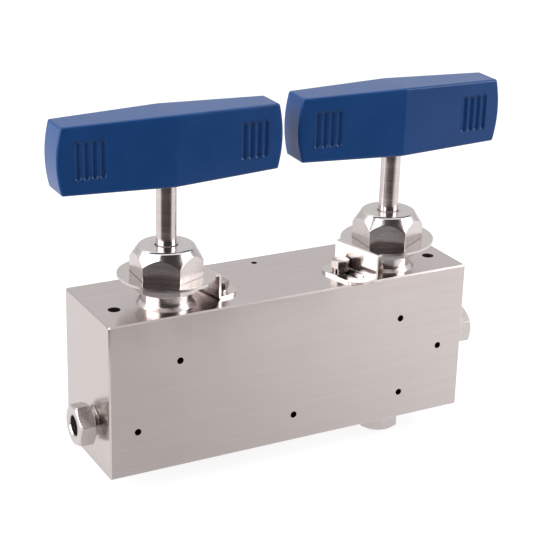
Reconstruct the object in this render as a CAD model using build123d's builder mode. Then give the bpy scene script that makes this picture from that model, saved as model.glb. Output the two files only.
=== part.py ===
"""Two-valve instrument manifold: a bar-stock block with two bar-handled needle valves.

The part's frame is in millimetres. Its origin is the middle of the block's back face, +X runs
along the row of valves towards the outlet, +Y points out of the back face and +Z points up the
valve stems. Heights are measured from the block's underside and depths from its front face.
Threads are plain cylinders at their pitch diameter.
"""

import os
from math import cos, radians, sin, tan

from build123d import *

# Block
block_length = 127.0
block_depth = 35.3
block_height = 50.8
block_edge = 0.5
valve_spacing = 79.15
valve_shift = 0.27
axis_depth = 12.4

# Flow path inside the block
orifice_radius = 1.6
inlet_height = 14.7
outlet_height = 23.5
seat_drop = 3.1
chamber_radius = 3.6
chamber_headroom = 1.9
packing_bore_radius = 7.3
gland_thread_radius = 9.0
gland_mouth_chamfer = 0.4
thread_relief = 2.6
weep_radius = 1.1
gland_weep_shift = -0.9
port_weep_depth = 9.2

# Tube ports
port_thread_radius = 5.14
port_depth = 12.7
port_cone_angle = 30.0
tube_radius = 3.175
tube_clearance = 0.085
nut_length = 15.0
nut_hex_length = 5.2
nut_hex_flats = 12.2
nut_corner_cut = 0.8
collar_length = 4.2
collar_wall = 1.5

# Holes in the block's top
panel_hole_radius = 1.95
panel_hole_depth = 12.7
panel_hole_inset = 6.9
dowel_hole_radius = 1.0
dowel_hole_depth = 4.0
dowel_hole_inset = 5.1
dowel_hole_shift = 0.4

# Small locating hole low in the middle of the front face
pin_hole_radius = 1.1
pin_hole_depth = 3.0
pin_hole_height = 9.2

# Stems
stem_thread_radius = 5.14
stem_thread_pitch = 1.27
turns_to_open = 2.25
stem_shank_radius = 3.175
stem_thread_length = 18.0
stem_barrel_relief = 0.25
stem_spigot_radius = 3.0
stem_spigot_length = 13.2
needle_radius = 2.38
needle_cone_angle = 30.0
needle_tip_radius = 0.5
needle_head_radius = 3.4
needle_head_height = 2.0
stem_socket_radius = 3.9
retainer_height = 3.0
thrust_washer_height = 1.0
sleeve_above_packing = 2.2

# Packing
packing_washer_height = 1.6
packing_height = 3.6

# Packing gland
gland_flats = 19.84
gland_hex_height = 14.1
gland_neck_height = 4.6
gland_neck_radius = 7.7
gland_nose_entry = 0.8
gland_thread_top_drop = 0.5
gland_top_radius = 8.5
gland_cone_slope = 1.526
gland_bottom_chamfer = 0.9
gland_roof = 3.5
gland_hole_radius = 3.45
gland_hole_chamfer = 0.3
stop_clearance = 0.3

# Locking bracket, its screw and its washer
sheet = 0.8
bracket_disc_radius = 15.15
bracket_disc_tilt = 2.2
bracket_drop_below_hex_top = 10.1
bracket_width = 18.7
bracket_wall_reach = 14.1
bracket_tab_reach = 22.6
bracket_corner_radius = 4.5
bracket_bend_radius = 0.7
bracket_tab_angle = 14.0
bracket_slot_reach = 17.1
bracket_slot_width = 3.6
bracket_slot_length = 13.0
bracket_screw_reach = 17.6
bracket_screw_shift = -0.8
bracket_screw_radius = 1.6
bracket_screw_length = 8.0
bracket_screw_flats = 5.5
bracket_screw_head = 2.8
lock_washer_radius = 2.65
lock_washer_height = 0.9

# Handles
handle_reach = 34.9
handle_end_bulge = 1.4
handle_end_thickness = 10.8
handle_mid_thickness = 14.92
handle_end_height = 20.5
handle_top_crown = 0.6
handle_bottom_crown = 1.0
handle_edge_radius = 0.8
handle_clear_height = 20.0
groove_count = 4
groove_first = 22.7
groove_pitch = 2.48
groove_width = 2.3
groove_length = 12.2
groove_depth = 0.6
set_screw_radius = 2.0
set_screw_height = 7.0
set_screw_recess = 0.5
set_screw_socket_flats = 2.0
set_screw_socket_depth = 1.6

# Fits
thread_clearance = 0.03
slip_clearance = 0.05
washer_clearance = 0.05
hex_clearance = 0.12
seat_clearance = 0.03
running_clearance = 0.025

# Heights worked out from the sizes above
seat_height = outlet_height - seat_drop
packing_floor = outlet_height + orifice_radius + chamber_headroom
packing_base = packing_floor + packing_washer_height
packing_top = packing_base + packing_height
gland_base = packing_top + packing_washer_height
thread_floor = gland_base + gland_nose_entry
gland_thread_base = thread_floor + thread_relief
gland_thread_top = block_height - gland_thread_top_drop
weep_height = thread_floor + thread_relief / 2
gland_hex_base = block_height + gland_neck_height
gland_top = gland_hex_base + gland_hex_height
gland_shoulder = gland_top - gland_roof
stem_travel = stem_thread_pitch * turns_to_open
sleeve_shoulder = gland_shoulder - stem_travel - stop_clearance
sleeve_base = gland_base + sleeve_above_packing
needle_head_base = sleeve_base + retainer_height + running_clearance
needle_head_top = needle_head_base + needle_head_height
thrust_washer_base = needle_head_top + running_clearance
sleeve_socket_top = thrust_washer_base + thrust_washer_height + running_clearance
handle_base = gland_top + handle_clear_height
stem_top = handle_base + stem_spigot_length
bracket_top = gland_top - bracket_drop_below_hex_top
tab_top = block_height + sheet
screw_head_base = tab_top + lock_washer_height
tube_bore_radius = tube_radius + tube_clearance
gland_corner_radius = gland_flats / 2 / cos(radians(30))
nut_corner_radius = nut_hex_flats / 2 / cos(radians(30))

os.makedirs("parts", exist_ok=True)


def write(part, name):
    """Label a finished piece and write it as one STEP file."""
    part.label = name
    export_step(part, f"parts/{name}.step")


def section_of(axis_plane):
    """The half-plane beside an axis: its x is the radius, its y runs along the axis."""
    return Plane(
        origin=axis_plane.origin,
        x_dir=axis_plane.x_dir,
        z_dir=axis_plane.x_dir.cross(axis_plane.z_dir),
    )


def turn(axis_plane, outline, mode=Mode.ADD):
    """Revolve a closed outline of (radius, height) points about the plane's own axis."""
    with BuildSketch(section_of(axis_plane)) as profile:
        with BuildLine():
            Polyline(*outline, close=True)
        make_face()
    revolve(profile.sketch, axis=Axis(axis_plane.origin, axis_plane.z_dir), mode=mode)


def turn_ring(axis_plane, inner, outer, low, high, mode=Mode.ADD):
    """Revolve a plain ring or, with an inner radius of 0, a plain cylinder."""
    turn(axis_plane, [(inner, low), (outer, low), (outer, high), (inner, high)], mode)


def vertical_axis(x, turned=0.0):
    """The frame of a valve: on its axis at the block's underside, +Z up the stem."""
    return Plane(
        origin=(x, axis_depth - block_depth, -block_height / 2),
        x_dir=(cos(radians(turned)), sin(radians(turned)), 0),
        z_dir=(0, 0, 1),
    )


# Each valve: place along the row, direction of one hex corner, direction of the bracket's tab,
# turn of the handle, and the side on which its bracket screw stands
valves = {
    "left": {
        "x": valve_shift - valve_spacing / 2,
        "corner": 27.0,
        "tab_side": 1,
        "handle_turn": -0.55,
    },
    "right": {
        "x": valve_shift + valve_spacing / 2,
        "corner": 208.2,
        "tab_side": -1,
        "handle_turn": -2.3,
    },
}

# Each port: the frame of its gland nut, on the port's axis at the block's surface with z_dir
# outwards and x_dir to the front; the turn of one hex corner from the front; how far the nut
# stands out of the block
axis_y = axis_depth - block_depth
ports = {
    "inlet": {
        "axis": Plane(
            origin=(-block_length / 2, axis_y, inlet_height - block_height / 2),
            x_dir=(0, -1, 0),
            z_dir=(-1, 0, 0),
        ),
        "corner": 15.0,
        "standing_out": 7.0,
    },
    "outlet": {
        "axis": Plane(
            origin=(block_length / 2, axis_y, outlet_height - block_height / 2),
            x_dir=(0, -1, 0),
            z_dir=(1, 0, 0),
        ),
        "corner": -27.0,
        "standing_out": 8.7,
    },
    "vent": {
        "axis": Plane(
            origin=(valves["right"]["x"], axis_y, -block_height / 2),
            x_dir=(0, -1, 0),
            z_dir=(0, 0, -1),
        ),
        "corner": 20.0,
        "standing_out": 7.7,
    },
}


def bracket_screw_axis(valve):
    """The frame of a bracket screw, at the block's underside like its valve's."""
    x = valve["x"] + valve["tab_side"] * bracket_screw_reach
    return Plane(
        origin=(x, axis_y + bracket_screw_shift, -block_height / 2),
        x_dir=(1, 0, 0),
        z_dir=(0, 0, 1),
    )


# Block: bar stock with its valve chambers, tube ports, cross bore and weep holes
with BuildPart() as body_block:
    with Locations((0, -block_depth / 2, 0)):
        Box(block_length, block_depth, block_height)
    chamfer(body_block.edges(), length=block_edge)

    cone_depth = (tube_bore_radius - orifice_radius) / tan(radians(port_cone_angle))
    for port in ports.values():
        turn(
            port["axis"],
            [
                (0, block_edge),
                (port_thread_radius + thread_clearance, block_edge),
                (port_thread_radius + thread_clearance, -port_depth),
                (tube_bore_radius, -port_depth),
                (orifice_radius, -port_depth - cone_depth),
                (0, -port_depth - cone_depth),
            ],
            mode=Mode.SUBTRACT,
        )

    for valve in valves.values():
        turn(
            vertical_axis(valve["x"]),
            [
                (0, block_height + block_edge),
                (gland_thread_radius + gland_mouth_chamfer + block_edge, block_height + block_edge),
                (gland_thread_radius + thread_clearance, block_height - gland_mouth_chamfer),
                (gland_thread_radius + thread_clearance, thread_floor),
                (packing_bore_radius, thread_floor),
                (packing_bore_radius, packing_floor),
                (chamber_radius, packing_floor),
                (chamber_radius, seat_height),
                (0, seat_height),
            ],
            mode=Mode.SUBTRACT,
        )
        turn_ring(
            bracket_screw_axis(valve),
            0,
            bracket_screw_radius + thread_clearance,
            screw_head_base - bracket_screw_length - 1.0,
            block_height + block_edge,
            mode=Mode.SUBTRACT,
        )

    # Inlet passage to the left seat, vent passage to the right seat, and the cross bore that
    # joins both chambers to the outlet
    passage_start = port_depth + cone_depth
    left_x = valves["left"]["x"]
    right_x = valves["right"]["x"]
    turn_ring(
        ports["inlet"]["axis"],
        0,
        orifice_radius,
        -(left_x + block_length / 2),
        -passage_start,
        mode=Mode.SUBTRACT,
    )
    turn_ring(
        vertical_axis(left_x), 0, orifice_radius, inlet_height, seat_height, mode=Mode.SUBTRACT
    )
    turn_ring(
        ports["vent"]["axis"],
        0,
        orifice_radius,
        -seat_height,
        -passage_start,
        mode=Mode.SUBTRACT,
    )
    turn_ring(
        ports["outlet"]["axis"],
        0,
        orifice_radius,
        left_x - block_length / 2,
        -passage_start,
        mode=Mode.SUBTRACT,
    )

    # Weep holes in the front face: one at each packing gland and one at each tube port
    weep_places = [
        (left_x + gland_weep_shift, weep_height, axis_depth - packing_bore_radius),
        (right_x + gland_weep_shift, weep_height, axis_depth - packing_bore_radius),
        (port_weep_depth - block_length / 2, inlet_height, axis_depth - tube_bore_radius),
        (block_length / 2 - port_weep_depth, outlet_height, axis_depth - tube_bore_radius),
        (right_x, port_weep_depth, axis_depth - tube_bore_radius),
    ]
    for weep_x, height, depth in weep_places:
        weep = Plane(
            origin=(weep_x, -block_depth, height - block_height / 2),
            x_dir=(1, 0, 0),
            z_dir=(0, -1, 0),
        )
        turn_ring(weep, 0, weep_radius, -depth, 1, mode=Mode.SUBTRACT)

    # Locating hole low in the middle of the front face
    pin_hole = Plane(
        origin=(0, -block_depth, pin_hole_height - block_height / 2),
        x_dir=(1, 0, 0),
        z_dir=(0, -1, 0),
    )
    turn_ring(pin_hole, 0, pin_hole_radius, -pin_hole_depth, 1, mode=Mode.SUBTRACT)

    # Tapped panel holes at both ends and the small dowel hole behind the middle
    for side in (-1, 1):
        panel_hole = vertical_axis(side * (block_length / 2 - panel_hole_inset))
        turn_ring(
            panel_hole,
            0,
            panel_hole_radius,
            block_height - panel_hole_depth,
            block_height + 1,
            mode=Mode.SUBTRACT,
        )
    with Locations((dowel_hole_shift, -dowel_hole_inset, block_height / 2)):
        Hole(radius=dowel_hole_radius, depth=dowel_hole_depth)
write(body_block.part, "body_block")


# Tube connections: a gland nut in each port and the tube collar that it drives against its cone
for port_name, port in ports.items():
    port_axis = port["axis"]
    nut_outer = port["standing_out"]
    nut_inner = nut_outer - nut_length
    hex_inner = nut_outer - nut_hex_length
    with BuildPart() as gland_nut:
        with BuildSketch(port_axis.offset(hex_inner)):
            RegularPolygon(radius=nut_corner_radius, side_count=6, rotation=port["corner"])
        extrude(amount=nut_hex_length)
        turn(
            port_axis,
            [
                (0, hex_inner),
                (nut_hex_flats / 2, hex_inner),
                (nut_corner_radius, hex_inner + nut_corner_cut),
                (nut_corner_radius, nut_outer - nut_corner_cut),
                (nut_hex_flats / 2 - 0.1, nut_outer),
                (0, nut_outer),
            ],
            mode=Mode.INTERSECT,
        )
        turn_ring(port_axis, 0, port_thread_radius, nut_inner, hex_inner)
        chamfer(
            gland_nut.edges().filter_by(GeomType.CIRCLE).sort_by_distance(
                port_axis.origin + port_axis.z_dir * nut_inner
            )[0],
            length=0.5,
        )
        turn_ring(port_axis, 0, tube_bore_radius, nut_inner, nut_outer, mode=Mode.SUBTRACT)
    write(gland_nut.part, f"{port_name}_gland_nut")

    with BuildPart() as collar:
        turn_ring(
            port_axis,
            tube_bore_radius,
            tube_bore_radius + collar_wall,
            nut_inner - collar_length,
            nut_inner,
        )
    write(collar.part, f"{port_name}_collar")


for side, valve in valves.items():
    axis = vertical_axis(valve["x"])
    hex_axis = vertical_axis(valve["x"], valve["corner"])
    tab_direction = valve["corner"] - bracket_tab_angle
    tab_axis = vertical_axis(valve["x"], tab_direction)
    handle_axis = vertical_axis(valve["x"], valve["handle_turn"])

    # Packing set: a washer below the packing and one above it
    for washer_name, low in (("lower", packing_floor), ("upper", packing_top)):
        with BuildPart() as packing_washer:
            turn_ring(
                axis,
                needle_radius + washer_clearance,
                packing_bore_radius - washer_clearance,
                low,
                low + packing_washer_height,
            )
        write(packing_washer.part, f"{side}_{washer_name}_packing_washer")
    with BuildPart() as packing:
        turn_ring(
            axis,
            needle_radius + running_clearance,
            packing_bore_radius - running_clearance,
            packing_base,
            packing_top,
        )
    write(packing.part, f"{side}_packing")

    # Packing gland: a hex with a long turned cone on top, a neck, a thread and a nose that
    # presses the packing, bored for the threaded sleeve of the stem
    with BuildPart() as packing_gland:
        with BuildSketch(hex_axis.offset(gland_hex_base)):
            RegularPolygon(radius=gland_corner_radius, side_count=6)
        extrude(amount=gland_hex_height)
        cone_rise = (gland_corner_radius - gland_top_radius) * gland_cone_slope
        turn(
            axis,
            [
                (0, gland_hex_base),
                (gland_flats / 2 - 0.1, gland_hex_base),
                (gland_corner_radius, gland_hex_base + gland_bottom_chamfer),
                (gland_corner_radius, gland_top - cone_rise),
                (gland_top_radius, gland_top),
                (0, gland_top),
            ],
            mode=Mode.INTERSECT,
        )
        turn(
            axis,
            [
                (0, gland_base),
                (packing_bore_radius - washer_clearance, gland_base),
                (packing_bore_radius - washer_clearance, gland_thread_base),
                (gland_thread_radius, gland_thread_base),
                (gland_thread_radius, gland_thread_top),
                (gland_neck_radius, gland_thread_top + gland_thread_radius - gland_neck_radius),
                (gland_neck_radius, gland_hex_base),
                (0, gland_hex_base),
            ],
        )
        turn(
            axis,
            [
                (0, gland_base),
                (stem_thread_radius + thread_clearance, gland_base),
                (stem_thread_radius + thread_clearance, gland_shoulder),
                (gland_hole_radius, gland_shoulder),
                (gland_hole_radius, gland_top - gland_hole_chamfer),
                (gland_hole_radius + gland_hole_chamfer, gland_top),
                (0, gland_top),
            ],
            mode=Mode.SUBTRACT,
        )
    write(packing_gland.part, f"{side}_packing_gland")

    # Locking bracket: a stamped plate that grips the gland's hex and lifts slightly away from
    # its bend, then runs down to the block's top and out into a slotted tab
    disc_run = bracket_disc_radius + 1 + bracket_wall_reach - sheet / 2
    disc_rise = disc_run * tan(radians(bracket_disc_tilt))
    with BuildPart() as locking_bracket:
        with BuildSketch(section_of(tab_axis)):
            with BuildLine():
                FilletPolyline(
                    (-bracket_disc_radius - 1, bracket_top - sheet / 2 + disc_rise),
                    (bracket_wall_reach - sheet / 2, bracket_top - sheet / 2),
                    (bracket_wall_reach - sheet / 2, tab_top - sheet / 2),
                    (bracket_tab_reach + 1, tab_top - sheet / 2),
                    radius=bracket_bend_radius,
                )
            trace(line_width=sheet)
        extrude(amount=bracket_disc_radius + 1, both=True)
        with BuildSketch(tab_axis.offset(block_height)):
            tongue_end = bracket_tab_reach / 2
            with Locations((tongue_end, 0)):
                Rectangle(bracket_tab_reach, bracket_width)
            plan = Circle(bracket_disc_radius, mode=Mode.PRIVATE)
            fillet(
                vertices().group_by(Axis.X)[-1],
                radius=bracket_corner_radius,
            )
            add(plan)
            with Locations((bracket_slot_reach, 0, 0)):
                SlotOverall(
                    bracket_slot_length, bracket_slot_width, rotation=90, mode=Mode.SUBTRACT
                )
            RegularPolygon(
                radius=gland_corner_radius + hex_clearance / cos(radians(30)),
                side_count=6,
                rotation=bracket_tab_angle,
                mode=Mode.SUBTRACT,
            )
        extrude(amount=bracket_top - block_height + disc_rise + sheet, mode=Mode.INTERSECT)
    write(locking_bracket.part, f"{side}_locking_bracket")

    screw_axis = bracket_screw_axis(valve)
    with BuildPart() as lock_washer:
        turn_ring(
            screw_axis,
            bracket_screw_radius + slip_clearance,
            lock_washer_radius,
            tab_top,
            screw_head_base,
        )
    write(lock_washer.part, f"{side}_bracket_lock_washer")

    with BuildPart() as bracket_screw:
        head_corner = bracket_screw_flats / 2 / cos(radians(30))
        head_top = screw_head_base + bracket_screw_head
        with BuildSketch(screw_axis.offset(screw_head_base)):
            RegularPolygon(radius=head_corner, side_count=6, rotation=30 + tab_direction)
        extrude(amount=bracket_screw_head)
        turn(
            screw_axis,
            [
                (0, screw_head_base),
                (head_corner, screw_head_base),
                (head_corner, head_top - 0.35),
                (bracket_screw_flats / 2 - 0.05, head_top),
                (0, head_top),
            ],
            mode=Mode.INTERSECT,
        )
        turn_ring(
            screw_axis,
            0,
            bracket_screw_radius,
            screw_head_base - bracket_screw_length,
            screw_head_base,
        )
    write(bracket_screw.part, f"{side}_bracket_screw")

    # Needle: the lower stem, which rises without turning; its cone closes on the seat
    with BuildPart() as lower_stem:
        tip_slope = tan(radians(needle_cone_angle))
        contact_height = seat_height + seat_clearance
        turn(
            axis,
            [
                (0, contact_height - (orifice_radius - needle_tip_radius) / tip_slope),
                (
                    needle_tip_radius,
                    contact_height - (orifice_radius - needle_tip_radius) / tip_slope,
                ),
                (
                    needle_radius,
                    contact_height + (needle_radius - orifice_radius) / tip_slope,
                ),
                (needle_radius, needle_head_base),
                (needle_head_radius, needle_head_base),
                (needle_head_radius, needle_head_top),
                (0, needle_head_top),
            ],
        )
    write(lower_stem.part, f"{side}_lower_stem")

    # Upper stem: a threaded sleeve that turns in the gland, carries the handle on the spigot and
    # shoulder of its shank, and holds the needle's head in the socket of its lower end
    with BuildPart() as upper_stem:
        thread_base = sleeve_shoulder - stem_thread_length
        barrel_radius = stem_thread_radius - stem_barrel_relief
        turn(
            axis,
            [
                (stem_socket_radius, sleeve_base),
                (barrel_radius, sleeve_base),
                (barrel_radius, thread_base),
                (stem_thread_radius, thread_base),
                (stem_thread_radius, sleeve_shoulder),
                (stem_shank_radius, sleeve_shoulder),
                (stem_shank_radius, handle_base),
                (stem_spigot_radius, handle_base),
                (stem_spigot_radius, stem_top - 0.5),
                (stem_spigot_radius - 0.5, stem_top),
                (0, stem_top),
                (0, sleeve_socket_top),
                (stem_socket_radius, sleeve_socket_top),
            ],
        )
    write(upper_stem.part, f"{side}_upper_stem")

    with BuildPart() as stem_retainer:
        turn_ring(
            axis,
            needle_radius + washer_clearance,
            stem_socket_radius - thread_clearance,
            sleeve_base,
            sleeve_base + retainer_height,
        )
    write(stem_retainer.part, f"{side}_stem_retainer")

    with BuildPart() as thrust_washer:
        turn_ring(
            axis,
            needle_radius / 2,
            stem_socket_radius - washer_clearance,
            thrust_washer_base,
            thrust_washer_base + thrust_washer_height,
        )
    write(thrust_washer.part, f"{side}_thrust_washer")

    # Handle: a bar that is thickest at its hub, with rounded ends, a crowned top and belly, and
    # finger grooves near both ends of both faces
    full_height = handle_bottom_crown + handle_end_height + handle_top_crown
    low_end = handle_base + handle_bottom_crown
    high_end = low_end + handle_end_height
    with BuildPart() as handle:
        handle_end = handle_reach + handle_end_bulge
        with BuildSketch(handle_axis.offset(handle_base)):
            with BuildLine():
                Polyline(
                    (handle_end, -handle_end_thickness / 2),
                    (handle_end, handle_end_thickness / 2),
                    (0, handle_mid_thickness / 2),
                    (-handle_end, handle_end_thickness / 2),
                    (-handle_end, -handle_end_thickness / 2),
                    (0, -handle_mid_thickness / 2),
                    close=True,
                )
            make_face()
        extrude(amount=full_height)
        with BuildSketch(section_of(handle_axis)):
            with BuildLine():
                for end in (-1, 1):
                    Polyline(
                        (end * handle_reach, low_end),
                        (0, handle_base),
                    )
                    Polyline(
                        (end * handle_reach, high_end),
                        (0, handle_base + full_height),
                    )
                    ThreePointArc(
                        (end * handle_reach, low_end),
                        (end * handle_end, (low_end + high_end) / 2),
                        (end * handle_reach, high_end),
                    )
            make_face()
        extrude(amount=handle_mid_thickness, both=True, mode=Mode.INTERSECT)
        fillet(handle.edges(), radius=handle_edge_radius)
        turn_ring(
            handle_axis,
            0,
            stem_spigot_radius + slip_clearance,
            handle_base - 1,
            stem_top + slip_clearance,
            mode=Mode.SUBTRACT,
        )
        face_slope = (handle_mid_thickness - handle_end_thickness) / 2 / handle_end
        groove_radius = (groove_width**2 / 4 + groove_depth**2) / 2 / groove_depth
        groove_top = (groove_length - groove_width) / 2
        for face in (-1, 1):
            for end in (-1, 1):
                for groove in range(groove_count):
                    reach = groove_first + groove * groove_pitch
                    surface = handle_mid_thickness / 2 - reach * face_slope
                    groove_axis = Plane(
                        origin=handle_axis.from_local_coords(
                            (
                                end * reach,
                                face * (surface - groove_depth + groove_radius),
                                (low_end + high_end) / 2,
                            )
                        ),
                        x_dir=handle_axis.x_dir,
                        z_dir=handle_axis.z_dir,
                    )
                    with BuildSketch(section_of(groove_axis)) as flute:
                        with BuildLine():
                            Line((0, -groove_top - groove_radius), (0, groove_top + groove_radius))
                            JernArc(
                                (0, groove_top + groove_radius), (1, 0), groove_radius, -90
                            )
                            Line((groove_radius, groove_top), (groove_radius, -groove_top))
                            JernArc((groove_radius, -groove_top), (0, -1), groove_radius, -90)
                        make_face()
                    revolve(
                        flute.sketch,
                        axis=Axis(groove_axis.origin, groove_axis.z_dir),
                        mode=Mode.SUBTRACT,
                    )
        set_screw_plane = Plane(
            origin=handle_axis.from_local_coords((0, 0, handle_base + set_screw_height)),
            x_dir=handle_axis.x_dir,
            z_dir=handle_axis.y_dir,
        )
        turn_ring(
            set_screw_plane,
            0,
            set_screw_radius,
            0,
            handle_mid_thickness,
            mode=Mode.SUBTRACT,
        )
    write(handle.part, f"{side}_handle")

    with BuildPart() as handle_set_screw:
        screw_end = handle_mid_thickness / 2 - set_screw_recess
        turn_ring(
            set_screw_plane,
            0,
            set_screw_radius - thread_clearance,
            stem_spigot_radius + seat_clearance,
            screw_end,
        )
        with BuildSketch(set_screw_plane.offset(screw_end)):
            RegularPolygon(radius=set_screw_socket_flats / 2 / cos(radians(30)), side_count=6)
        extrude(amount=-set_screw_socket_depth, mode=Mode.SUBTRACT)
    write(handle_set_screw.part, f"{side}_handle_set_screw")
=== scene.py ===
# %% [markdown]
# # Two-valve manifold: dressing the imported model
# This lesson dresses a small instrument manifold: a ground steel block with three tube ports,
# two packing glands held by bent brackets, and two blue bar handles on rising stems. The solids
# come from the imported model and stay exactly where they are. Blender adds what a solid leaves
# out: threads, soft edges, and finishes that catch the light as ground, polished and painted
# metal do.

from math import cos, pi, radians, sin

import bmesh
import bpy
from mathutils import Matrix, Vector


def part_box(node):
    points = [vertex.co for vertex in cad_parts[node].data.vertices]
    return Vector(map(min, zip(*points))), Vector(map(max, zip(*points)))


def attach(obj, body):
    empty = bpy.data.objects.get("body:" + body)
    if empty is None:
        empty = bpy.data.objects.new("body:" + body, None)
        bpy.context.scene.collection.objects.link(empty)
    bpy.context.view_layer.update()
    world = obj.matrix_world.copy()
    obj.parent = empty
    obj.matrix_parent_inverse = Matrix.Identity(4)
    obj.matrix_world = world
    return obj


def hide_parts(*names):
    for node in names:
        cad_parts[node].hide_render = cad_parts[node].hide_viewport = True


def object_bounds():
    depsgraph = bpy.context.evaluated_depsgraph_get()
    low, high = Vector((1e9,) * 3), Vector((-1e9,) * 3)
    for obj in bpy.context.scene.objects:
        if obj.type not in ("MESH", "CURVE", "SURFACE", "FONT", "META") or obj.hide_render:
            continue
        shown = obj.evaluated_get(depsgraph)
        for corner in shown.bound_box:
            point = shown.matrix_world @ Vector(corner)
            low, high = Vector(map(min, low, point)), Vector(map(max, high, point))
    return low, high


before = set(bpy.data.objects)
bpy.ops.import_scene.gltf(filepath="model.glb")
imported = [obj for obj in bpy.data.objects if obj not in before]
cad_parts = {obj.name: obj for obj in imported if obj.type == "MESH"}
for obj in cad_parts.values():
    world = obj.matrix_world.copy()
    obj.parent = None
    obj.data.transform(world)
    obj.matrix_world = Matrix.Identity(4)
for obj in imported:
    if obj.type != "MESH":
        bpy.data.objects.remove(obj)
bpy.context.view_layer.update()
MM = 0.001
SIDES = ("left", "right")
PORTS = ("inlet", "outlet", "vent")

# %% [markdown]
# ## Camera
# A long lens a good half metre away keeps the block's edges nearly parallel, as catalogue
# pictures do. The camera looks down by about 21 degrees from in front and a little to the left,
# and is rolled by a degree and a half. Its three axes are written out as vectors, which is
# plainer than a chain of Euler angles.

# %% Camera from an azimuth, an elevation and a roll
camera_azimuth = radians(-28.647)
camera_elevation = radians(21.2025)
camera_roll = radians(1.5888)
camera_place = Vector((-224.53, -427.85, 208.78)) * MM

back = Vector(
    (
        sin(camera_azimuth) * cos(camera_elevation),
        -cos(camera_azimuth) * cos(camera_elevation),
        sin(camera_elevation),
    )
)
level_right = Vector((cos(camera_azimuth), sin(camera_azimuth), 0))
level_up = back.cross(level_right)
right = level_right * cos(camera_roll) + level_up * sin(camera_roll)
up = -level_right * sin(camera_roll) + level_up * cos(camera_roll)
camera_turn = Matrix((right, up, back)).transposed().to_4x4()
camera_data = bpy.data.cameras.new("camera")
camera_data.lens = 104.30
camera_data.clip_start = 0.01
camera = bpy.data.objects.new("camera", camera_data)
camera.matrix_world = Matrix.Translation(camera_place) @ camera_turn
bpy.context.scene.collection.objects.link(camera)
bpy.context.scene.camera = camera
print("camera stands", round(camera_place.length, 3), "m from the block's back face")

# %% [markdown]
# ## Node helpers
# Every finish below is a small node tree, and most of its lines would only make a node and fill
# its sockets. These helpers do that: each input may be a plain number or the output of another
# node. The rest start a node group or a material and put a material on the solids.


# %% Helpers that add nodes
COLOUR_INPUTS = (6, 7)  # where a Mix node keeps its two colours


def feed(tree, socket, value):
    """Link a value that comes from another node, otherwise set it."""
    if isinstance(value, bpy.types.NodeSocket):
        tree.links.new(value, socket)
    else:
        socket.default_value = value


def add(tree, kind, settings=None, **sockets):
    """Add a node and fill its sockets by name, such as i0 for the first input."""
    node = tree.nodes.new(kind)
    for key, value in (settings or {}).items():
        setattr(node, key, value)
    for key, value in sockets.items():
        numbered = key[0] == "i" and key[1:].isdigit()
        feed(tree, node.inputs[int(key[1:]) if numbered else key.replace("_", " ")], value)
    return node


def maths(tree, operation, *values):
    node = add(tree, "ShaderNodeMath", {"operation": operation})
    for socket, value in zip(node.inputs, values):
        feed(tree, socket, value)
    return node.outputs[0]


def vector_maths(tree, operation, *values):
    """A length or a dot product comes out as a number, the rest as a vector."""
    node = add(tree, "ShaderNodeVectorMath", {"operation": operation})
    for socket, value in zip(node.inputs, values):
        feed(tree, socket, value)
    return node.outputs["Value" if operation in ("LENGTH", "DOT_PRODUCT") else "Vector"]


def remap(tree, value, low, high, new_low=0.0, new_high=1.0, soft=True):
    """Turn one range of numbers into another, along an S-curve or a straight line."""
    curve = "SMOOTHSTEP" if soft else "LINEAR"
    node = add(tree, "ShaderNodeMapRange", {"interpolation_type": curve})
    ends = {"From Min": low, "From Max": high, "To Min": new_low, "To Max": new_high}
    for name, number in {"Value": value, **ends}.items():
        feed(tree, node.inputs[name], number)
    return node.outputs[0]


def blend_colours(tree, mask, first, second):
    """Mix two colours by a mask; a colour may be plain or come from a node."""
    node = add(tree, "ShaderNodeMix", {"data_type": "RGBA"}, Factor=mask)
    for place, colour in zip(COLOUR_INPUTS, (first, second)):
        feed(tree, node.inputs[place], (*colour, 1.0) if isinstance(colour, tuple) else colour)
    return node.outputs[2]


# %% Helpers that start groups and materials
def start_group(name, inputs, outputs):
    """Start a node group with its named inputs, their defaults and its named outputs."""
    group = bpy.data.node_groups.new(name, "ShaderNodeTree")
    for socket_name, default in inputs.items():
        kind = "NodeSocketVector" if isinstance(default, tuple) else "NodeSocketFloat"
        socket = group.interface.new_socket(socket_name, in_out="INPUT", socket_type=kind)
        socket.default_value = default
    for socket_name in outputs:
        group.interface.new_socket(socket_name, in_out="OUTPUT", socket_type="NodeSocketFloat")
    group_in = group.nodes.new("NodeGroupInput").outputs
    group_out = group.nodes.new("NodeGroupOutput").inputs
    print("group", name, "puts out", outputs)
    return group, group_in, group_out


def use_group(tree, group, **sockets):
    return add(tree, "ShaderNodeGroup", {"node_tree": group}, **sockets).outputs


def start_material(name):
    material = bpy.data.materials.new(name)
    material.use_nodes = True
    tree = material.node_tree
    coordinates = tree.nodes.new("ShaderNodeTexCoord").outputs["Object"]
    return material, tree, tree.nodes["Principled BSDF"], coordinates


def give(node_names, material):
    """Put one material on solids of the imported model."""
    for node_name in node_names:
        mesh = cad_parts[node_name].data
        mesh.materials.clear()
        mesh.materials.append(material)
    print(material.name, "on", len(node_names), "solids")


# %% [markdown]
# ## Straight grain
# A ground or rolled face is covered with fine parallel scratches. Noise that is squeezed hard in
# two directions and hardly in the third gives streaks of that kind without any image. The group
# puts out fine and coarse streaks, because one layer alone looks printed.

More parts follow.
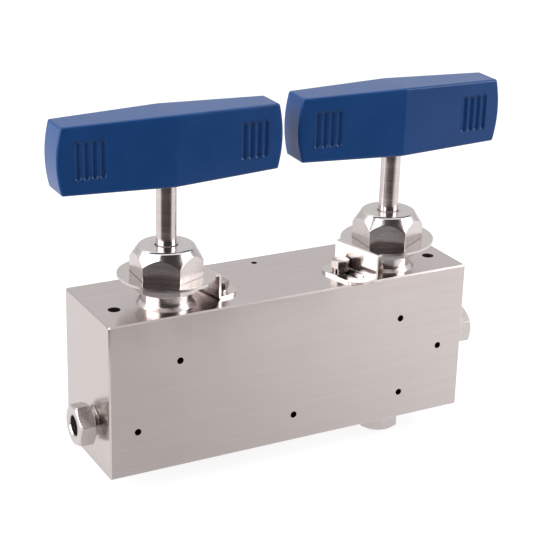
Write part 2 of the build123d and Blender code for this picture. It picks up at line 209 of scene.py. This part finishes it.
# %% Group: straight grain
straight_grain, ins, outs = start_group(
    "straight_grain",
    {"Vector": (0, 0, 0), "Stretch": (90, 2600, 2600)},
    ["Fine", "Coarse"],
)
squeezed = vector_maths(straight_grain, "MULTIPLY", ins["Vector"], ins["Stretch"])
fine = add(
    straight_grain, "ShaderNodeTexNoise", Vector=squeezed, Scale=1.0, Detail=4.0, Roughness=0.6
)
coarse = add(straight_grain, "ShaderNodeTexNoise", Vector=squeezed, Scale=0.23, Detail=2.0)
straight_grain.links.new(fine.outputs["Fac"], outs["Fine"])
straight_grain.links.new(coarse.outputs["Fac"], outs["Coarse"])

# %% [markdown]
# ## Lathe rings
# A turned face keeps rings round its axis. The group works out how far a point is from the axis
# and how far along it, and reads a flat noise at that pair of numbers, so the noise can't vary
# round the axis. It needs the axis of each piece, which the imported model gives.

# %% Group: lathe rings
lathe_rings, ins, outs = start_group(
    "lathe_rings",
    {"Vector": (0, 0, 0), "Centre": (0, 0, 0), "Axis": (0, 0, 1), "Pitch": 0.0003},
    ["Fine", "Broad"],
)
from_centre = vector_maths(lathe_rings, "SUBTRACT", ins["Vector"], ins["Centre"])
along_axis = vector_maths(lathe_rings, "DOT_PRODUCT", from_centre, ins["Axis"])
distance = vector_maths(lathe_rings, "LENGTH", from_centre)
distance_squared = maths(lathe_rings, "MULTIPLY", distance, distance)
along_squared = maths(lathe_rings, "MULTIPLY", along_axis, along_axis)
radius_squared = maths(lathe_rings, "SUBTRACT", distance_squared, along_squared)
radius_from_axis = maths(lathe_rings, "SQRT", maths(lathe_rings, "MAXIMUM", radius_squared, 0.0))
flat_place = add(lathe_rings, "ShaderNodeCombineXYZ", X=radius_from_axis, Y=along_axis).outputs[0]
in_pitches = add(
    lathe_rings,
    "ShaderNodeVectorMath",
    {"operation": "SCALE"},
    i0=flat_place,
    Scale=maths(lathe_rings, "DIVIDE", 1.0, ins["Pitch"]),
).outputs[0]
flat_noise = {"noise_dimensions": "2D"}
for output, scale, detail in (("Fine", 1.0, 3.0), ("Broad", 0.12, 2.0)):
    noise = add(
        lathe_rings, "ShaderNodeTexNoise", flat_noise, Vector=in_pitches, Scale=scale, Detail=detail
    )
    lathe_rings.links.new(noise.outputs["Fac"], outs[output])

# %% [markdown]
# ## Smudges, grit and cavities
# Handled metal has soft cloudy patches that are a little duller. Paint and moulded resin have a
# fine grit. Bores and finger flutes get painted shade: their colour is darkened where a cavity
# mask finds nearby surface of the same piece, which works on any shape.

# %% Groups: smudges, grit and cavities
smudges, ins, outs = start_group("smudges", {"Vector": (0, 0, 0), "Size": 0.02}, ["Mask"])
cloud = add(
    smudges,
    "ShaderNodeTexNoise",
    Vector=ins["Vector"],
    Scale=maths(smudges, "DIVIDE", 1.0, ins["Size"]),
    Detail=5.0,
    Roughness=0.55,
    Distortion=0.6,
)
smudges.links.new(remap(smudges, cloud.outputs["Fac"], 0.35, 0.7), outs["Mask"])

grit, ins, outs = start_group("grit", {"Vector": (0, 0, 0), "Size": 0.0003}, ["Height"])
per_size = maths(grit, "DIVIDE", 1.0, ins["Size"])
grains = add(grit, "ShaderNodeTexNoise", Vector=ins["Vector"], Scale=per_size, Detail=2.0)
grit.links.new(grains.outputs["Fac"], outs["Height"])

# the cavity mask only serves to paint shade into bores and flutes
cavity, ins, outs = start_group("cavity", {"Distance": 0.002}, ["Open"])
sheltered = add(
    cavity,
    "ShaderNodeAmbientOcclusion",
    {"only_local": True, "samples": 12},
    Distance=ins["Distance"],
)
cavity.links.new(sheltered.outputs["AO"], outs["Open"])

# %% [markdown]
# ## Ground bar stock
# The block is stainless bar, ground along its length. Its faces are bright but not mirrors:
# the top still shows a blurred image of the glands. The grain changes the roughness more than
# the colour, and a very weak bump breaks up the reflections along the scratches. The same
# function makes every other steel, with grain or with rings.

# %% A steel finish for all the metal parts
BUMP_DEPTH = 2e-5
SMUDGE_SIZE, SMUDGE_DULLNESS = 0.018, 0.06
FINE_SHARE = 0.6
MARK_RANGE = (0.3, 0.7)  # where nearly all of the noise lies
BORE_DEPTH, BORE_PAINTED_SHADE = 0.003, (0.03, 0.025, 0.022)


def steel(
    name, colour, tint, roughness, spread=0.03, grain=None, rings=None, bump=0.15, bores=False
):
    """A steel whose marks show in its roughness, its colour and its bump."""
    material, tree, shader, coordinates = start_material(name)
    if rings:
        centre, axis, pitch = rings
        marks = use_group(
            tree, lathe_rings, Vector=coordinates, Centre=centre, Axis=axis, Pitch=pitch
        )
    else:
        marks = use_group(tree, straight_grain, Vector=coordinates, Stretch=grain)
    fine_part = maths(tree, "MULTIPLY", marks[0], FINE_SHARE)
    broad_part = maths(tree, "MULTIPLY", marks[1], 1 - FINE_SHARE)
    mark = maths(tree, "ADD", fine_part, broad_part)
    base = blend_colours(tree, remap(tree, mark, *MARK_RANGE), colour, tint)
    # painted shade: the colour is darkened in the bores, where the cavity mask finds nearby surface
    if bores:
        open_face = use_group(tree, cavity, Distance=BORE_DEPTH)["Open"]
        base = blend_colours(tree, remap(tree, open_face, 0.12, 0.45), BORE_PAINTED_SHADE, base)
    tree.links.new(base, shader.inputs["Base Color"])
    grainy = remap(tree, mark, *MARK_RANGE, roughness - spread, roughness + spread)
    stains = use_group(tree, smudges, Vector=coordinates, Size=SMUDGE_SIZE)["Mask"]
    stained = maths(tree, "ADD", grainy, maths(tree, "MULTIPLY", stains, SMUDGE_DULLNESS))
    tree.links.new(stained, shader.inputs["Roughness"])
    raised = add(tree, "ShaderNodeBump", Strength=bump, Distance=BUMP_DEPTH, Height=mark)
    tree.links.new(raised.outputs["Normal"], shader.inputs["Normal"])
    shader.inputs["Metallic"].default_value = 1.0
    return material


# %% Steel for the block
block_steel = steel(
    "block_steel",
    colour=(0.61, 0.548, 0.536),
    tint=(0.64, 0.582, 0.57),
    roughness=0.2,
    spread=0.02,
    grain=(60, 2200, 2200),
    bump=0.05,
    # bores=True paints shade into the block's bores and holes
    bores=True,
)
give(["body_block"], block_steel)

# %% [markdown]
# ## Turned steel
# Glands, stems and nuts are turned, so their marks run round an axis. Each gets the place and
# direction of its own axis, read from the box of its node, and keeps its rings centred on it.
# One shared material can't do that, because its rings would have one centre for all pieces.


# %% Axes of the valves and ports, read from the model
def middle(node):
    low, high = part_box(node)
    return (low + high) / 2


UP, FRONT = Vector((0, 0, 1)), Vector((0, -1, 0))
valve_centre = {side: middle(f"{side}_packing_gland") for side in SIDES}
port_centre = {port: middle(f"{port}_gland_nut") for port in PORTS}
port_axis = {"inlet": Vector((-1, 0, 0)), "outlet": Vector((1, 0, 0)), "vent": -UP}
print("valves", valve_centre, "ports", port_centre)

# %% Finishes of both valves
HIDDEN_TURNED_PARTS = (
    "lower_stem",
    "stem_retainer",
    "thrust_washer",
    "upper_packing_washer",
    "lower_packing_washer",
)
gland_finish = {}
for side, centre in valve_centre.items():
    gland_finish[side] = steel(
        f"{side}_gland_steel",
        colour=(0.67, 0.62, 0.605),
        tint=(0.72, 0.675, 0.66),
        roughness=0.19,
        rings=(centre, UP, 0.00025),
        bump=0.1,
    )
    stem_finish = steel(
        f"{side}_stem_steel",
        colour=(0.62, 0.56, 0.55),
        tint=(0.72, 0.665, 0.65),
        roughness=0.17,
        spread=0.06,
        rings=(centre, UP, 0.00035),
        bump=0.3,
    )
    give([f"{side}_upper_stem"], stem_finish)
    inner_finish = steel(
        f"{side}_inner_steel",
        colour=(0.55, 0.53, 0.52),
        tint=(0.62, 0.6, 0.59),
        roughness=0.3,
        spread=0.05,
        rings=(centre, UP, 0.0003),
    )
    give([f"{side}_{part}" for part in HIDDEN_TURNED_PARTS], inner_finish)

# %% Finishes of the three ports
nut_finish = {}
for port, centre in port_centre.items():
    port_rings = (centre, port_axis[port], 0.0003)
    nut_finish[port] = steel(
        f"{port}_nut_steel",
        colour=(0.60, 0.555, 0.54),
        tint=(0.65, 0.605, 0.59),
        roughness=0.22,
        rings=port_rings,
        bump=0.05,
    )
    collar_finish = steel(
        f"{port}_collar_steel",
        colour=(0.5, 0.48, 0.47),
        tint=(0.58, 0.56, 0.55),
        roughness=0.3,
        spread=0.05,
        rings=port_rings,
    )
    give([f"{port}_collar"], collar_finish)

# %% [markdown]
# ## Turning and milling in mesh code
# A gland or a nut starts as a bar turned in a lathe, then gets six flats in a mill, then a
# thread. The mesh can be made in the same order: spin an outline about the axis, slice it with
# six planes, and bevel what a deburring tool would touch. The alternative, a hexagonal cylinder
# with its ends bevelled, misses the curved line where the turned cone meets each flat.


# %% Spin an outline
def outline_points(bm, outline):
    return [bm.verts.new((radius * MM, 0, height * MM)) for radius, height in outline]


def only_edges(items):
    return [item for item in items if isinstance(item, bmesh.types.BMEdge)]


def turned_ring(outline, steps=120):
    """Spin a closed outline of (radius, height) points, in millimetres, about +Z."""
    bm = bmesh.new()
    corners = outline_points(bm, outline)
    edges = [bm.edges.new(pair) for pair in zip(corners, corners[1:] + corners[:1])]
    bmesh.ops.spin(
        bm, geom=corners + edges, axis=(0, 0, 1), angle=2 * pi, steps=steps, use_merge=True
    )
    bmesh.ops.remove_doubles(bm, verts=bm.verts[:], dist=1e-7)
    bmesh.ops.recalc_face_normals(bm, faces=bm.faces[:])
    return bm


def soften(bm, edges, width, segments=2):
    bmesh.ops.bevel(
        bm,
        geom=edges,
        offset=width * MM,
        segments=segments,
        affect="EDGES",
        profile=0.5,
        material=-1,
        clamp_overlap=True,
    )


def rim_edges(bm, radius, height, near=1e-6):
    """The edges of one turned corner, before any flat is milled."""

    def on_rim(vert):
        right_radius = abs(vert.co.xy.length - radius * MM) < near
        return right_radius and abs(vert.co.z - height * MM) < near

    return [edge for edge in bm.edges if all(on_rim(vert) for vert in edge.verts)]


# %% Slice with a plane and mill six flats
def slice_off(bm, place, outward):
    """Cut off all that lies outward of a plane, and return the edges of the cut."""
    cut = bmesh.ops.bisect_plane(
        bm,
        geom=bm.verts[:] + bm.edges[:] + bm.faces[:],
        dist=1e-7,
        plane_co=place,
        plane_no=outward,
        clear_outer=True,
    )
    return only_edges(cut["geom_cut"])


def mill_hex(bm, flats, first_corner, corner_width):
    """Slice six flats, close each cut with one face and soften its edges."""
    for count in range(6):
        angle = radians(first_corner + 30 + 60 * count)
        outward = Vector((cos(angle), sin(angle), 0))
        bmesh.ops.edgeloop_fill(bm, edges=slice_off(bm, outward * flats / 2 * MM, outward))
    bmesh.ops.recalc_face_normals(bm, faces=bm.faces[:])
    # a turned face has four corners, so any face with many more is a milled one
    flat_faces = [face for face in bm.faces if len(face.verts) > 8]
    print("milled flats", len(flat_faces))
    soften(bm, list({edge for face in flat_faces for edge in face.edges}), corner_width)


def corner_radius_of(flats):
    return flats / 2 / cos(radians(30))


# %% [markdown]
# ## Threads
# A thread is one tooth wound up a helix. Spinning the tooth with a small rise at each step winds
# it, two slices trim it square, and a bore closes it into a tube. A stack of rings would be
# cheaper, but a real helix shows its slope wherever a few turns stay in sight.


# %% Wind, trim and bore a thread
CREST_START, CREST_END = 0.42, 0.58  # the flat top of a tooth, as parts of the pitch


def threaded_tube(crest, depth, pitch, bore, low, high, steps=60):
    """Wind one thread tooth up the axis, trim it at both heights and bore it out."""
    bm = bmesh.new()
    base = low - pitch
    tooth = [
        (crest - depth, base),
        (crest, base + CREST_START * pitch),
        (crest, base + CREST_END * pitch),
        (crest - depth, base + pitch),
    ]
    corners = outline_points(bm, tooth)
    edges = [bm.edges.new(pair) for pair in zip(corners, corners[1:])]
    turns = int((high - low) / pitch) + 3
    bmesh.ops.spin(
        bm,
        geom=corners + edges,
        axis=(0, 0, 1),
        dvec=(0, 0, pitch * MM / steps),
        angle=2 * pi * turns,
        steps=steps * turns,
    )
    bmesh.ops.remove_doubles(bm, verts=bm.verts[:], dist=1e-6)
    ends = [Vector((0, 0, height * MM)) for height in (low, high)]
    rims = [slice_off(bm, end, outward) for end, outward in zip(ends, (-UP, UP))]
    bores = []
    for end, rim in zip(ends, rims):
        made = bmesh.ops.create_circle(
            bm, radius=bore * MM, segments=steps, matrix=Matrix.Translation(end)
        )
        circle = list({edge for vert in made["verts"] for edge in vert.link_edges})
        bmesh.ops.bridge_loops(bm, edges=rim + circle)
        bores += circle
    bmesh.ops.bridge_loops(bm, edges=bores)
    bmesh.ops.recalc_face_normals(bm, faces=bm.faces[:])
    return bm


# %% [markdown]
# ## From meshes to one finished piece
# The head, neck and thread of a nut are one piece of metal, so their meshes are joined and put
# in place together. Smooth shading with sharp edges by angle keeps flats flat and cones round,
# and weighted normals stop the small bevels from bending the light on the large flats.

# %% Join, place and hand over a piece
SHARP_ANGLE = radians(24)


def finish_piece(name, meshes, place, material, node):
    """Join bmeshes into one piece on the manifold, which stands for one solid."""
    joined = bmesh.new()
    for bm in meshes:
        part = bpy.data.meshes.new(name)
        bm.to_mesh(part)
        bm.free()
        joined.from_mesh(part)
        bpy.data.meshes.remove(part)
    joined.transform(place)
    for face in joined.faces:
        face.smooth = True
    mesh = bpy.data.meshes.new(name)
    joined.to_mesh(mesh)
    joined.free()
    mesh.set_sharp_from_angle(angle=SHARP_ANGLE)
    mesh.materials.append(material)
    piece = bpy.data.objects.new(name, mesh)
    bpy.context.scene.collection.objects.link(piece)
    weights = piece.modifiers.new("flat_faces_stay_flat", "WEIGHTED_NORMAL")
    weights.keep_sharp = True
    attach(piece, "manifold")
    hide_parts(node)
    print(name, "faces", len(mesh.polygons))


# %% [markdown]
# ## Packing glands
# The gland is the nut that squeezes the packing: a hexagon whose whole upper third is turned to
# a cone, rounded into a flat top, over a plain neck and the thread in the block. The polished
# rounding carries the brightest line on the object, so it is a real bevel here and not a bump.

# %% Gland sizes, in millimetres
gland_corner = {"left": 27.0, "right": 208.2}  # degrees of one corner from +X
gland_flats, gland_head = 19.84, 14.1
gland_bar = corner_radius_of(gland_flats) + 0.3  # the bar is a little larger than the corners
gland_top_radius, gland_rounding, cone_rise = 8.5, 0.75, 1.526
underside_radius, underside_rise = 9.75, 1.15
stem_bore, stem_bore_depth, stem_bore_chamfer = 3.45, 3.5, 0.3
gland_bore, gland_thread, neck_radius = 5.0, 9.0, 7.7
nose_radius, nose_length, nose_chamfer = 7.25, 3.4, 0.3
block_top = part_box("body_block")[1].z / MM
print("gland corners lie", round(corner_radius_of(gland_flats), 2), "mm from the axis")

# %% Both glands
for side in SIDES:
    low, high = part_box(f"{side}_packing_gland")
    centre = (low + high) / 2
    bottom, top = low.z / MM, high.z / MM
    hex_bottom = top - gland_head
    cone_foot = top - (gland_bar - gland_top_radius) * cone_rise
    head = turned_ring(
        [
            (gland_bore, hex_bottom),
            (underside_radius, hex_bottom),
            (gland_bar, hex_bottom + underside_rise),
            (gland_bar, cone_foot),
            (gland_top_radius, top),
            (stem_bore + stem_bore_chamfer, top),
            (stem_bore, top - stem_bore_chamfer),
            (stem_bore, top - stem_bore_depth),
            (gland_bore, top - stem_bore_depth),
        ]
    )
    soften(head, rim_edges(head, gland_top_radius, top), gland_rounding, segments=5)
    mill_hex(head, gland_flats, gland_corner[side], 0.16)
    thread_top = block_top - 0.5
    neck = turned_ring(
        [
            (gland_bore, thread_top),
            (gland_thread, thread_top),
            (neck_radius + 0.15, thread_top + 1.15),
            (neck_radius, thread_top + 1.5),
            (neck_radius, hex_bottom - 0.3),
            (neck_radius + 0.3, hex_bottom),
            (gland_bore, hex_bottom),
        ]
    )
    nose_top = bottom + nose_length
    thread = threaded_tube(gland_thread, 0.9, 1.5875, gland_bore, nose_top, thread_top)
    nose = turned_ring(
        [
            (gland_bore, bottom),
            (nose_radius - nose_chamfer, bottom),
            (nose_radius, bottom + nose_chamfer),
            (nose_radius, nose_top),
            (gland_bore, nose_top),
        ]
    )
    finish_piece(
        f"{side}_gland",
        [head, neck, thread, nose],
        Matrix.Translation((centre.x, centre.y, 0)),
        gland_finish[side],
        f"{side}_packing_gland",
    )

# %% [markdown]
# ## Tube gland nuts
# Each port is closed by a small hexagon nut with a through bore for the tube. Part of its thread
# stays in sight between the hexagon and the block, so that thread is wound as a real helix. The
# nuts were tightened to no particular angle, so each has its own.

# %% Nut sizes, in millimetres
nut_corner = {"inlet": 15.0, "outlet": -27.0, "vent": 20.0}
nut_flats, nut_length, nut_head, nut_bore, nut_crest = 12.2, 15.0, 5.2, 3.26, 5.14
nut_bar = corner_radius_of(nut_flats) + 0.2
nut_chamfer, bore_chamfer = 0.75, 0.35
print("nut corners lie", round(corner_radius_of(nut_flats), 2), "mm from the axis")

# %% Nuts of the inlet, the outlet and the vent
for port, outward in port_axis.items():
    low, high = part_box(f"{port}_gland_nut")
    centre = (low + high) / 2
    outer = max(corner.dot(outward) for corner in (low, high)) / MM
    head_inner = outer - nut_head
    head = turned_ring(
        [
            (nut_bore, head_inner),
            (nut_flats / 2 - 0.1, head_inner),
            (nut_bar, head_inner + nut_chamfer),
            (nut_bar, outer - nut_chamfer),
            (nut_flats / 2 - 0.25, outer),
            (nut_bore + bore_chamfer, outer),
            (nut_bore, outer - bore_chamfer),
        ],
        steps=96,
    )
    mill_hex(head, nut_flats, nut_corner[port], 0.12)
    thread = threaded_tube(nut_crest, 0.72, 1.27, nut_bore, outer - nut_length, head_inner)
    axis_place = Matrix.Translation(centre - outward * centre.dot(outward))
    turn_to_port = Matrix((FRONT, outward.cross(FRONT), outward)).transposed().to_4x4()
    finish_piece(
        f"{port}_nut",
        [head, thread],
        axis_place @ turn_to_port,
        nut_finish[port],
        f"{port}_gland_nut",
    )

# %% [markdown]
# ## Stamped sheet and small fasteners
# The brackets are cut from bright cold-rolled sheet: smoother than the block, with a faint
# rolling direction. Their screws and washers are plain fasteners, a little darker, and their
# grain runs no particular way.

# %% Steel for brackets, screws and washers
bracket_steel = steel(
    "bracket_steel",
    colour=(0.66, 0.605, 0.59),
    tint=(0.71, 0.655, 0.64),
    roughness=0.13,
    grain=(150, 1900, 1900),
    bump=0.1,
)
give([f"{side}_locking_bracket" for side in SIDES], bracket_steel)
screw_steel = steel(
    "screw_steel",
    colour=(0.42, 0.38, 0.36),
    tint=(0.52, 0.475, 0.45),
    roughness=0.22,
    spread=0.04,
    grain=(900, 900, 900),
    bump=0.05,
)

# %% [markdown]
# ## Bracket screws and their split washers
# Each bracket is held by a small hexagon screw over a spring washer. The screw is turned and
# milled as the glands are. The washer is one coil of square wire: the outline is spun through a
# little less than a full turn, and the two ends are closed, which leaves the split open.


# %% Split washer
def split_washer(inner, outer, low, high, gap_at, gap=16):
    """Spin a square section almost all the way round; the angles are in degrees."""
    bm = bmesh.new()
    corners = outline_points(bm, [(inner, low), (outer, low), (outer, high), (inner, high)])
    first_end = [bm.edges.new(pair) for pair in zip(corners, corners[1:] + corners[:1])]
    spun = bmesh.ops.spin(
        bm, geom=corners + first_end, axis=(0, 0, 1), angle=radians(360 - gap), steps=60
    )
    for end in (first_end, only_edges(spun["geom_last"])):
        bmesh.ops.edgeloop_fill(bm, edges=end)
    bmesh.ops.recalc_face_normals(bm, faces=bm.faces[:])
    soften(bm, [edge for edge in bm.edges if edge.calc_face_angle(0) > radians(60)], 0.08)
    bm.transform(Matrix.Rotation(radians(gap_at + gap / 2), 4, "Z"))
    return bm


# %% Screw sizes, in millimetres, and both sets
screw_corner = {"left": 43.0, "right": 224.2}
screw_flats, screw_head, screw_radius, screw_bar = 5.5, 2.8, 1.6, 3.3
crown_radius, crown_steps = 0.3, 72  # a small disc closes the middle of the head
for side in SIDES:
    low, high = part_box(f"{side}_bracket_screw")
    centre = (low + high) / 2
    place = Matrix.Translation((centre.x, centre.y, 0))
    head_top = high.z / MM
    head_base = head_top - screw_head
    head = turned_ring(
        [
            (crown_radius, head_base),
            (screw_flats / 2 - 0.2, head_base),
            (screw_bar, head_base + 0.3),
            (screw_bar, head_top - 0.5),
            (2.45, head_top - 0.08),
            (2.1, head_top),
            (crown_radius, head_top),
        ],
        steps=crown_steps,
    )
    crown = bmesh.new()
    bmesh.ops.create_circle(
        crown,
        cap_ends=True,
        radius=crown_radius * MM,
        segments=crown_steps,
        matrix=Matrix.Translation((0, 0, head_top * MM)),
    )
    mill_hex(head, screw_flats, screw_corner[side], 0.12)
    shank = threaded_tube(screw_radius, 0.4, 0.7, crown_radius, low.z / MM, head_base, steps=36)
    finish_piece(
        f"{side}_hex_screw",
        [head, crown, shank],
        place,
        screw_steel,
        f"{side}_bracket_screw",
    )
    low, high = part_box(f"{side}_bracket_lock_washer")
    washer = split_washer(1.68, 2.65, low.z / MM, high.z / MM, gap_at=-150)
    finish_piece(
        f"{side}_split_washer",
        [washer],
        place,
        screw_steel,
        f"{side}_bracket_lock_washer",
    )

# %% [markdown]
# ## Blue enamel
# The handles are bars with a baked blue coat. It is smooth with a little orange peel. Most of
# its gloss comes from a thin clear coat, so the colour stays deep where nothing bright is
# reflected. The finger flutes get painted shade: their colour is darkened inside.

# %% Paint on the handles
PAINT, PAINT_TINT = (0.011, 0.064, 0.228), (0.0125, 0.07, 0.245)
FLUTE_PAINTED_SHADE = (0.003, 0.015, 0.06)
handle_paint, tree, shader, coordinates = start_material("handle_paint")
peel = use_group(tree, grit, Vector=coordinates, Size=0.0011)["Height"]
stains = use_group(tree, smudges, Vector=coordinates, Size=0.012)["Mask"]
open_face = use_group(tree, cavity, Distance=0.0025)["Open"]
paint = blend_colours(tree, stains, PAINT, PAINT_TINT)
# painted shade: the colour is darkened inside the finger flutes and other close hollows
paint = blend_colours(tree, remap(tree, open_face, 0.55, 0.93), FLUTE_PAINTED_SHADE, paint)
tree.links.new(paint, shader.inputs["Base Color"])
tree.links.new(remap(tree, stains, 0.0, 1.0, 0.2, 0.26), shader.inputs["Roughness"])
shader.inputs["Specular IOR Level"].default_value = 0.2
shader.inputs["Coat Weight"].default_value = 0.15
shader.inputs["Coat Roughness"].default_value = 0.08
raised = add(tree, "ShaderNodeBump", Strength=0.12, Distance=0.0001, Height=peel)
tree.links.new(raised.outputs["Normal"], shader.inputs["Normal"])
give([f"{side}_handle" for side in SIDES], handle_paint)

# %% [markdown]
# ## Set screws and packing
# Two finishes are hardly seen. The set screws are blackened steel, a dark and rather dull metal.
# The packing is a pale moulded resin inside the block. Both take the same fine grit, so one
# function makes them.


# %% Black oxide and resin
def gritty(name, dark, light, roughness, size, metallic=0.0):
    """A finish whose fine grit shows in its colour and its roughness."""
    material, tree, shader, coordinates = start_material(name)
    height = use_group(tree, grit, Vector=coordinates, Size=size)["Height"]
    tree.links.new(blend_colours(tree, height, dark, light), shader.inputs["Base Color"])
    tree.links.new(remap(tree, height, *MARK_RANGE, *roughness), shader.inputs["Roughness"])
    shader.inputs["Metallic"].default_value = metallic
    return material


black_oxide = gritty(
    "dark_screw", (0.02, 0.02, 0.022), (0.05, 0.05, 0.055), (0.35, 0.5), 0.0002, metallic=0.6
)
give([f"{side}_handle_set_screw" for side in SIDES], black_oxide)
packing_resin = gritty("packing", (0.82, 0.81, 0.78), (0.9, 0.89, 0.86), (0.45, 0.6), 0.0004)
give([f"{side}_packing" for side in SIDES], packing_resin)

# %% [markdown]
# ## Paper floor
# The part stands on a sheet of white paper. Polished steel shows mostly what stands opposite it,
# so what the paper looks like in reflections matters more than the paper itself. To the eye the
# sheet is evenly pale. Mirrored in the metal it is bright close to the block, a little dimmer on
# the left of it, and almost black from a hand's width in front, as if the set ended there: that
# gives the stems their dark band and the hexagons their contrast. For the light that falls on it,
# it stays ordinary paper, so a soft shadow remains.

# %% Where the paper is bright in a reflection
low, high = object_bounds()
bpy.ops.mesh.primitive_plane_add(size=4.0, location=(0, 0, low[2] - 0.0001))
floor = bpy.context.object
floor.name = "floor"
floor.data.transform(floor.matrix_world)
floor.matrix_world = Matrix.Identity(4)
paper = bpy.data.materials.new("paper")
paper.use_nodes = True
tree = paper.node_tree
tree.nodes.remove(tree.nodes["Principled BSDF"])
place = tree.nodes.new("ShaderNodeTexCoord").outputs["Object"]
across = add(tree, "ShaderNodeSeparateXYZ", i0=place).outputs
ahead = vector_maths(tree, "DOT_PRODUCT", place, Vector((back.x, back.y, 0)).normalized())
reach = vector_maths(tree, "LENGTH", place)

under_front = remap(tree, across["X"], -0.05, 0.13, 0.63, 1.0)
beside_left = remap(tree, across["X"], -0.060, -0.075)
paper_glow = add(
    tree, "ShaderNodeMix", {"data_type": "FLOAT"}, i0=beside_left, i2=under_front, i3=0.96
).outputs[0]
further_ahead = remap(tree, ahead, 0.15, 0.21, 1.0, 0.6)

# the dark end of the set is a wedge: it stops at the left, at the right and near the block
rightward = maths(tree, "MULTIPLY_ADD", across["Y"], 0.3, across["X"])
far_right = remap(tree, rightward, 0.105, 0.14)
within_stems = remap(tree, reach, 0.3, 0.35, 1.0, 0.0)
near_right = maths(tree, "MULTIPLY", remap(tree, rightward, -0.03, 0.06), within_stems)
past_right = maths(tree, "MAXIMUM", far_right, near_right)
past_left = remap(tree, across["Y"], -0.09, 0.0)
near_block = remap(tree, reach, 0.175, 0.215, 1.0, 0.0)
lit = maths(tree, "MAXIMUM", maths(tree, "MAXIMUM", past_left, past_right), near_block)
wedge = remap(tree, lit, 0.0, 1.0, 0.06, 1.0, soft=False)
dimming = maths(tree, "MULTIPLY", further_ahead, wedge)
print("paper lies at", round(low[2], 4), "m")

# %% The paper for the eye, for reflections and for the light on it
EYE_GLOW = 0.82
PAPER_LIT, PAPER_SEEN, PAPER_MIRRORED = (0.42, 0.42, 0.42), (0.35, 0.35, 0.35), (0.05, 0.04, 0.037)
paths = tree.nodes.new("ShaderNodeLightPath").outputs
seen = paths["Is Camera Ray"]
mirrored = maths(tree, "MAXIMUM", paths["Is Glossy Ray"], paths["Is Transmission Ray"])
mirrored_glow = maths(tree, "MULTIPLY", mirrored, maths(tree, "MULTIPLY", paper_glow, dimming))
glow_strength = maths(tree, "ADD", maths(tree, "MULTIPLY", seen, EYE_GLOW), mirrored_glow)
glow = add(tree, "ShaderNodeEmission", Strength=glow_strength)
matt_colour = blend_colours(tree, seen, PAPER_LIT, PAPER_SEEN)
matt_colour = blend_colours(tree, mirrored, matt_colour, PAPER_MIRRORED)
matt = add(tree, "ShaderNodeBsdfDiffuse", Color=matt_colour)
both = add(tree, "ShaderNodeAddShader", i0=glow.outputs[0], i1=matt.outputs[0])
tree.links.new(both.outputs[0], tree.nodes["Material Output"].inputs["Surface"])
floor.data.materials.append(paper)
print("staged", floor.name)

# %% [markdown]
# ## The room
# The world is a white room that gets a little brighter with height, with one dark opening in
# front where the unlit studio is. Chrome and steel look like metal only when they have
# something dark to mirror, and an all-white room would turn them into grey plastic. The dark is
# slightly warm. The eye sees plain white behind the part.

# %% White room with a dark opening in front
DARK_AZIMUTH, DARK_HEIGHT = radians(-100), radians(25)
ROOM_FOR_DIFFUSE = 0.55
world = bpy.data.worlds.new("studio")
bpy.context.scene.world = world
world.use_nodes = True
tree = world.node_tree
sky = tree.nodes["Background"]
direction = tree.nodes.new("ShaderNodeTexCoord").outputs["Generated"]
dark_middle = Vector(
    (
        cos(DARK_AZIMUTH) * cos(DARK_HEIGHT),
        sin(DARK_AZIMUTH) * cos(DARK_HEIGHT),
        sin(DARK_HEIGHT),
    )
)
opening = remap(tree, vector_maths(tree, "DOT_PRODUCT", direction, dark_middle), 0.66, 0.8)
height = add(tree, "ShaderNodeSeparateXYZ", i0=direction).outputs["Z"]
lift = remap(tree, height, -0.1, 0.8, 0.62, 0.85)
room = maths(tree, "MULTIPLY", lift, remap(tree, opening, 0.0, 1.0, 1.0, 0.06, soft=False))
paths = tree.nodes.new("ShaderNodeLightPath").outputs
seen, on_matt = paths["Is Camera Ray"], paths["Is Diffuse Ray"]
softer = remap(tree, on_matt, 0.0, 1.0, 1.0, ROOM_FOR_DIFFUSE, soft=False)
room = maths(tree, "MULTIPLY", room, softer)
tree.links.new(maths(tree, "MAXIMUM", room, seen), sky.inputs["Strength"])
warm_dark = maths(tree, "MULTIPLY", opening, maths(tree, "SUBTRACT", 1.0, seen))
room_colour = blend_colours(tree, warm_dark, (1.0, 1.0, 1.0), (1.0, 0.8, 0.74))
tree.links.new(room_colour, sky.inputs["Color"])
print("room is darkest towards", tuple(round(part, 2) for part in dark_middle))

# %% [markdown]
# ## Softboxes
# Three area lamps stand round the part. The large left one lights the block's end and the ends
# of the handles, and draws the bright patches on the glands. The small right one lifts the
# fronts, and the overhead one lights the tops and the flat caps of the glands. Large lamps give
# broad soft highlights, and small ones would burn hard white spots into the steel.


# %% Softboxes on the left, the right and overhead
def softbox(name, place, aim, size, power):
    """An area lamp at a place, turned towards an aim; metres and watts."""
    data = bpy.data.lights.new(name, "AREA")
    data.shape = "RECTANGLE"
    data.size, data.size_y = size
    data.energy = power
    lamp = bpy.data.objects.new(name, data)
    turn = (Vector(aim) - Vector(place)).to_track_quat("-Z", "Y").to_matrix().to_4x4()
    lamp.matrix_world = Matrix.Translation(place) @ turn
    bpy.context.scene.collection.objects.link(lamp)
    print(name, power, "W")


softbox("left_softbox", (-0.68, 0.02, 0.28), (0, 0, 0.05), (0.85, 0.95), 7.4)
softbox("right_softbox", (0.46, -0.30, 0.28), (0.04, 0, 0.07), (0.35, 0.4), 2.0)
softbox("top_softbox", (0.0, 0.15, 0.85), (0, 0, 0), (1.0, 0.8), 2.4)

# %% [markdown]
# ## Colours and the end
# The Standard view shows colours as they were written.

bpy.context.scene.view_settings.view_transform = "Standard"
